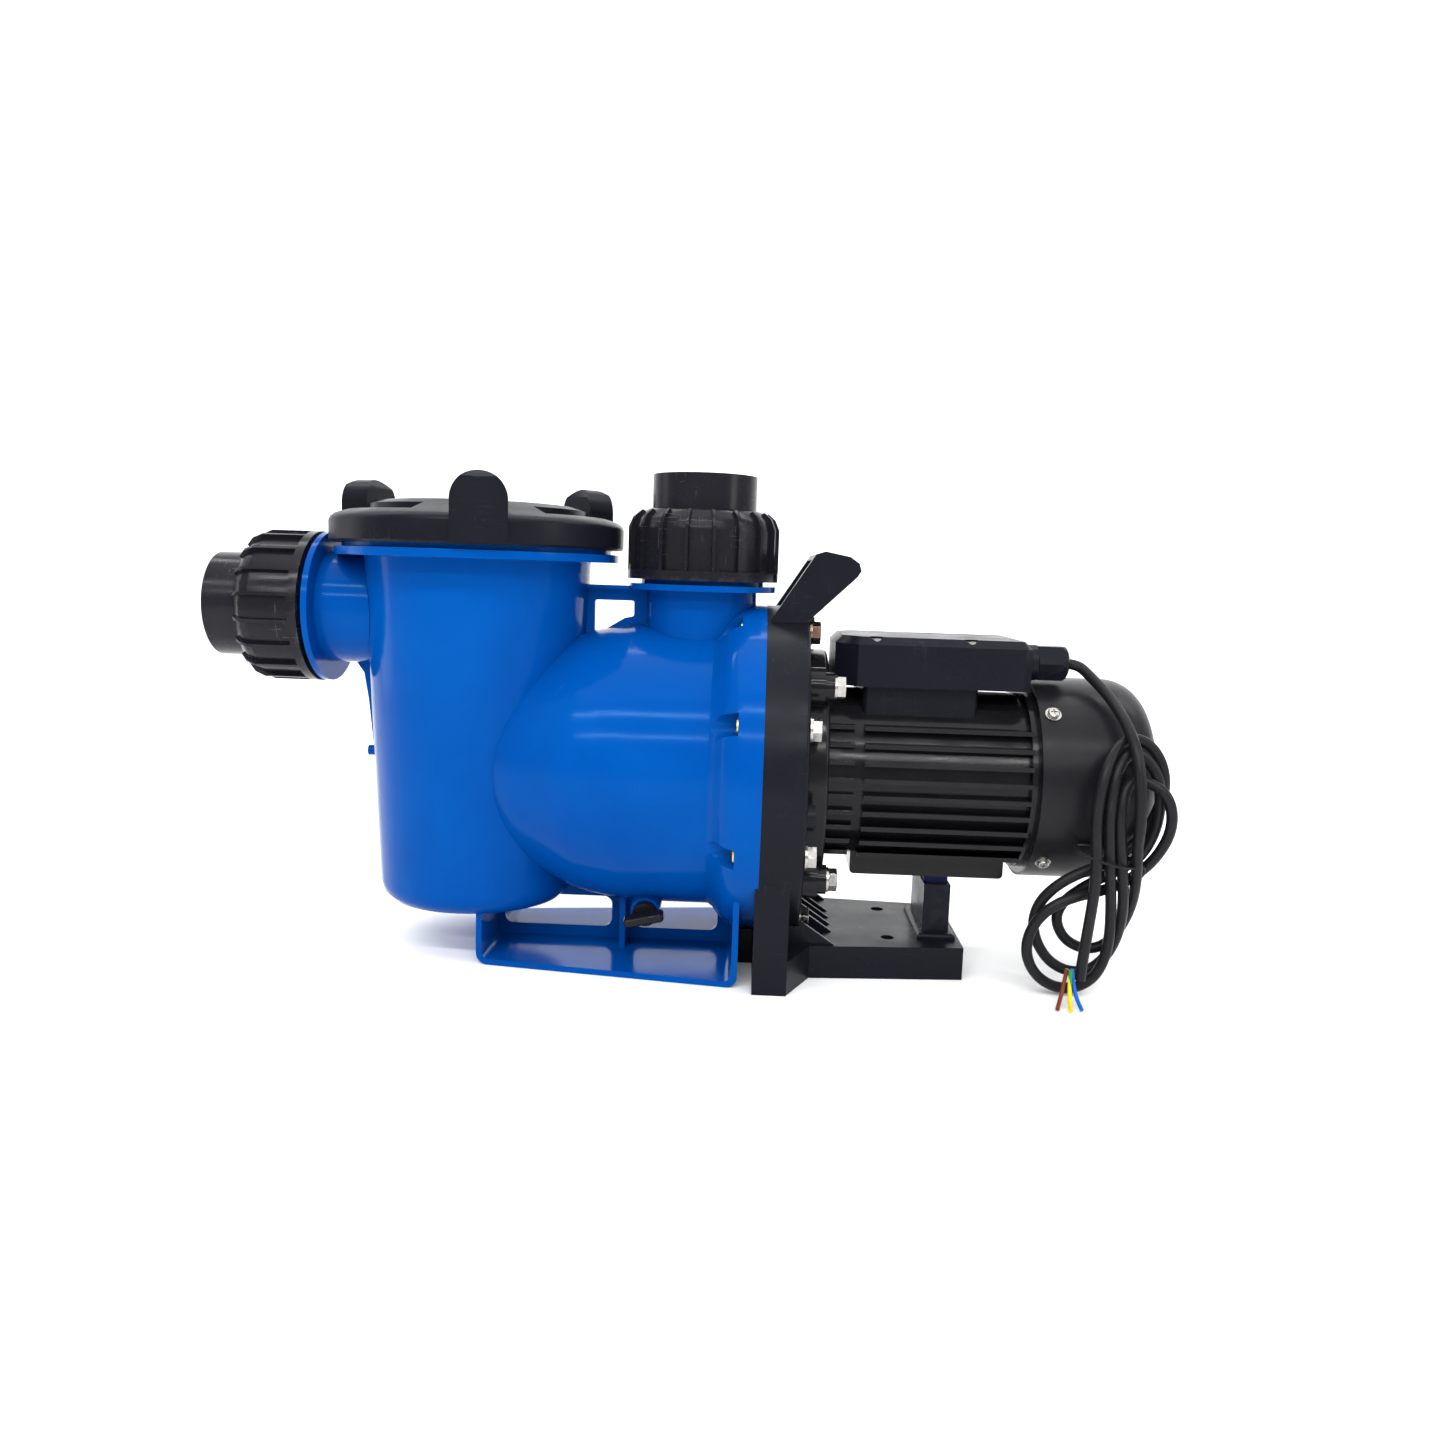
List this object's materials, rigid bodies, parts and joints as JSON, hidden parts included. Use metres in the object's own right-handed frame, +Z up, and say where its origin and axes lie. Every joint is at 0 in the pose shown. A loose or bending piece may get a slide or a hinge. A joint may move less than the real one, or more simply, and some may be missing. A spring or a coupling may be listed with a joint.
{
  "type": "pool pump",
  "caption": "Self-priming pool pump with a blue strainer pot and volute, black unions, finned electric motor and a tied bare-ended mains lead.",
  "frame": {"origin": "centre of the pump's footprint box on the floor, without the mains lead", "axes": "+X along the shaft from the suction branch to the fan end, +Z up along the discharge branch"},
  "size_m": [0.636, 0.224, 0.3295],
  "materials": {
    "blue_plastic": "glossy moulded blue plastic",
    "black_plastic": "satin black moulded plastic",
    "union_plastic": "semi-gloss black fitting plastic",
    "clear_plastic": "clear moulded lid",
    "white_plastic": "natural white basket plastic",
    "grey_plastic": "filled grey wet-end plastic",
    "seal_rubber": "black elastomer",
    "pad_rubber": "dark blue rubber",
    "brass": "plain brass",
    "stainless": "stainless steel",
    "shaft_steel": "ground steel",
    "bearing_steel": "polished steel",
    "ceramic": "white ceramic ring",
    "motor_paint": "gloss black paint on cast aluminium",
    "cover_paint": "satin black powder coat on pressed steel",
    "lamination": "stacked electrical steel",
    "copper": "varnished copper wire",
    "cord_sheath": "black round mains lead",
    "wire_brown": "brown core insulation",
    "wire_yellow_green": "green and yellow core insulation",
    "wire_blue": "blue core insulation"
  },
  "bodies": {
    "pump": {"bracket_handle": "black_plastic", "brass_inserts": "brass", "capacitor": "black_plastic", "casing_bolts": "stainless", "casing_o_ring": "seal_rubber", "casing_washers": "stainless", "conductor_blue": "wire_blue", "conductor_brown": "wire_brown", "conductor_yellow_green": "wire_yellow_green", "cord_hank": "cord_sheath", "cord_lead": "cord_sheath", "cord_tail": "cord_sheath", "cord_tie": "black_plastic", "diffuser": "grey_plastic", "discharge_neck": "blue_plastic", "discharge_o_ring": "seal_rubber", "discharge_tailpiece": "union_plastic", "fan_cover": "cover_paint", "fan_cover_screws": "stainless", "fan_cover_washers": "stainless", "flange_bolts": "stainless", "flange_washers": "stainless", "front_bearing": "bearing_steel", "gland_body": "black_plastic", "gland_seal": "seal_rubber", "motor_base": "black_plastic", "motor_bracket": "black_plastic", "motor_flange": "motor_paint", "motor_frame": "motor_paint", "pump_foot": "blue_plastic", "rear_bearing": "bearing_steel", "rear_end_shield": "motor_paint", "seal_seat": "ceramic", "stator_core": "lamination", "stator_windings": "copper", "strainer_pot": "blue_plastic", "suction_neck": "blue_plastic", "suction_o_ring": "seal_rubber", "suction_tailpiece": "union_plastic", "support_pad": "pad_rubber", "terminal_block": "white_plastic", "terminal_box_base": "black_plastic", "terminal_box_cover": "black_plastic", "terminal_cover_screws": "stainless", "top_web": "blue_plastic", "volute_casing": "blue_plastic"},
    "clear_lid": {"clear_lid": "clear_plastic", "lid_o_ring": "seal_rubber"},
    "lid_ring": {"lid_ring": "black_plastic"},
    "basket": {"strainer_basket": "white_plastic"},
    "suction_nut": {"suction_nut": "union_plastic"},
    "discharge_nut": {"discharge_nut": "union_plastic"},
    "drain_plug": {"drain_plug": "union_plastic"},
    "gland_nut": {"gland_nut": "black_plastic"},
    "rotor": {"shaft": "shaft_steel", "impeller": "grey_plastic", "impeller_nut": "brass", "seal_head": "seal_rubber", "rotor_core": "lamination", "fan": "black_plastic"}
  },
  "joints": [
    {"name": "lid_lift", "type": "slide", "parent": "pump", "child": "clear_lid", "axis": [0, 0, 1], "range_m": [0, 0.32]},
    {"name": "ring_turn", "type": "hinge", "parent": "clear_lid", "child": "lid_ring", "pos_m": [-0.1395, 0, 0.292], "axis": [0, 0, 1], "range_deg": [0, 360]},
    {"name": "basket_lift", "type": "slide", "parent": "pump", "child": "basket", "axis": [0, 0, 1], "range_m": [0, 0.26]},
    {"name": "suction_nut_turn", "type": "hinge", "parent": "pump", "child": "suction_nut", "pos_m": [-0.2705, 0, 0.233], "axis": [-1, 0, 0], "range_deg": [0, 1080]},
    {"name": "discharge_nut_turn", "type": "hinge", "parent": "pump", "child": "discharge_nut", "pos_m": [0.0145, 0, 0.282], "axis": [0, 0, 1], "range_deg": [0, 1080]},
    {"name": "drain_plug_turn", "type": "hinge", "parent": "pump", "child": "drain_plug", "pos_m": [-0.015, -0.008, 0.048], "axis": [0, -0.9781, -0.2079], "range_deg": [0, 1440]},
    {"name": "gland_nut_turn", "type": "hinge", "parent": "pump", "child": "gland_nut", "pos_m": [0.2495, -0.022, 0.2125], "axis": [1, 0, 0], "range_deg": [0, 1080]},
    {"name": "shaft_spin", "type": "hinge", "parent": "pump", "child": "rotor", "pos_m": [0.0595, 0, 0.132], "axis": [1, 0, 0], "continuous": true}
  ],
  "couplings": [
    {"joint": "basket_lift", "follows": "lid_lift", "ratio": 0.8}
  ]
}
